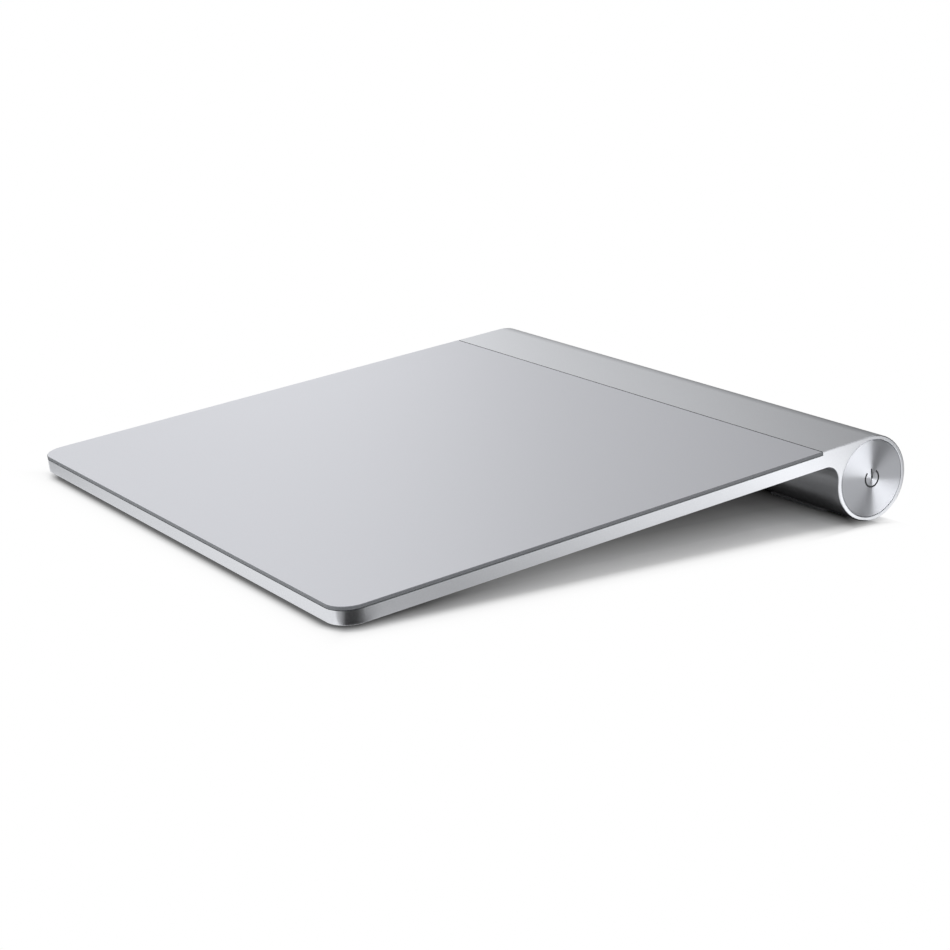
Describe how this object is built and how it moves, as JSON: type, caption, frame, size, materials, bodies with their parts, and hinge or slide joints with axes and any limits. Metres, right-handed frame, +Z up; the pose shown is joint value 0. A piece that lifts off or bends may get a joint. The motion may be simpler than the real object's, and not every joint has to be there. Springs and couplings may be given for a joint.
{
  "type": "trackpad",
  "caption": "Wireless trackpad: a sloping glass-topped aluminium plate on a battery tube, with a press button, a screw cap and a hinged click lever on its front feet.",
  "frame": {"origin": "on the table plane under the middle of the object's box", "axes": "+X to the power button's end of the tube, +Y to the tube at the back, +Z up"},
  "size_m": [0.131, 0.13, 0.018],
  "materials": {
    "anodised_aluminium": "fine bead-blasted and clear anodised",
    "turned_aluminium": "face turned, clear anodised",
    "matt_glass": "etched matt, pale grey paint behind",
    "adhesive_film": "thin acrylic film",
    "circuit_board": "green solder mask",
    "chip_resin": "moulded black resin",
    "tinned_steel": "tin plated",
    "chip_ceramic": "sintered ceramic",
    "polyimide_cable": "amber film over copper",
    "ivory_plastic": "moulded nylon",
    "black_plastic": "moulded nylon",
    "stamped_steel": "stamped, plain",
    "foot_rubber": "matt grey",
    "cover_plastic": "moulded, fine texture",
    "cell_can": "plated can",
    "cell_sleeve": "plain shrink sleeve",
    "contact_metal": "nickel-gold plated",
    "indicator_lens": "clear"
  },
  "bodies": {
    "base": {"chassis": "anodised_aluminium", "glass_plate": "matt_glass", "glass_adhesive": "adhesive_film", "sensor_adhesive": "adhesive_film", "cover_adhesive": "adhesive_film", "sensor_board": "circuit_board", "switch_board": "circuit_board", "touch_controller": "chip_resin", "microcontroller": "chip_resin", "boost_inductor": "chip_resin", "radio_module": "tinned_steel", "crystal": "tinned_steel", "radio_antenna": "chip_ceramic", "board_capacitors": "chip_ceramic", "power_flex": "polyimide_cable", "flex_connector": "ivory_plastic", "click_switch": "ivory_plastic", "power_switch": "ivory_plastic", "end_carrier": "black_plastic", "retaining_ring": "black_plastic", "hinge_brackets": "stamped_steel", "hinge_pins": "stamped_steel", "bracket_screws": "stamped_steel", "rear_feet": "foot_rubber", "bottom_cover": "cover_plastic", "battery_outer": "cell_can", "battery_inner": "cell_can", "battery_sleeves": "cell_sleeve", "positive_contact": "contact_metal", "status_led": "indicator_lens", "light_guide": "indicator_lens"},
    "power_button": {"power_button": "turned_aluminium", "button_skirt": "black_plastic", "power_switch_plunger": "black_plastic"},
    "cap_contact": {"contact_plate": "contact_metal", "contact_spring": "contact_metal"},
    "battery_cap": {"battery_cap": "anodised_aluminium", "contact_rivet": "stamped_steel"},
    "click_lever": {"click_lever": "stamped_steel", "front_foot_left": "foot_rubber", "front_foot_right": "foot_rubber"},
    "click_plunger": {"click_switch_plunger": "black_plastic"}
  },
  "joints": [
    {"name": "power_button_press", "type": "slide", "parent": "base", "child": "power_button", "axis": [-1, 0, 0], "range_m": [0, 0.0007], "stiffness_N_per_m": 800, "springref_m": -0.0015},
    {"name": "cap_travel", "type": "slide", "parent": "base", "child": "cap_contact", "axis": [-1, 0, 0], "range_m": [0, 0.004]},
    {"name": "cap_turn", "type": "hinge", "parent": "cap_contact", "child": "battery_cap", "pos_m": [-0.0655, 0.05625, 0.00925], "axis": [-1, 0, 0], "range_deg": [0, 1441]},
    {"name": "click_hinge", "type": "hinge", "parent": "base", "child": "click_lever", "pos_m": [0, -0.02251, 0.00704], "axis": [-1, 0, 0], "range_deg": [0, 0.87], "stiffness_Nm_per_rad": 1, "springref_deg": -2.29},
    {"name": "click_plunger_travel", "type": "slide", "parent": "base", "child": "click_plunger", "axis": [0, -0.1103, 0.9939], "range_m": [0, 0.000255]}
  ],
  "couplings": [
    {"joint": "cap_turn", "follows": "cap_travel", "rad_per_m": 6283.2},
    {"joint": "click_plunger_travel", "follows": "click_hinge", "m_per_rad": 0.0165}
  ]
}
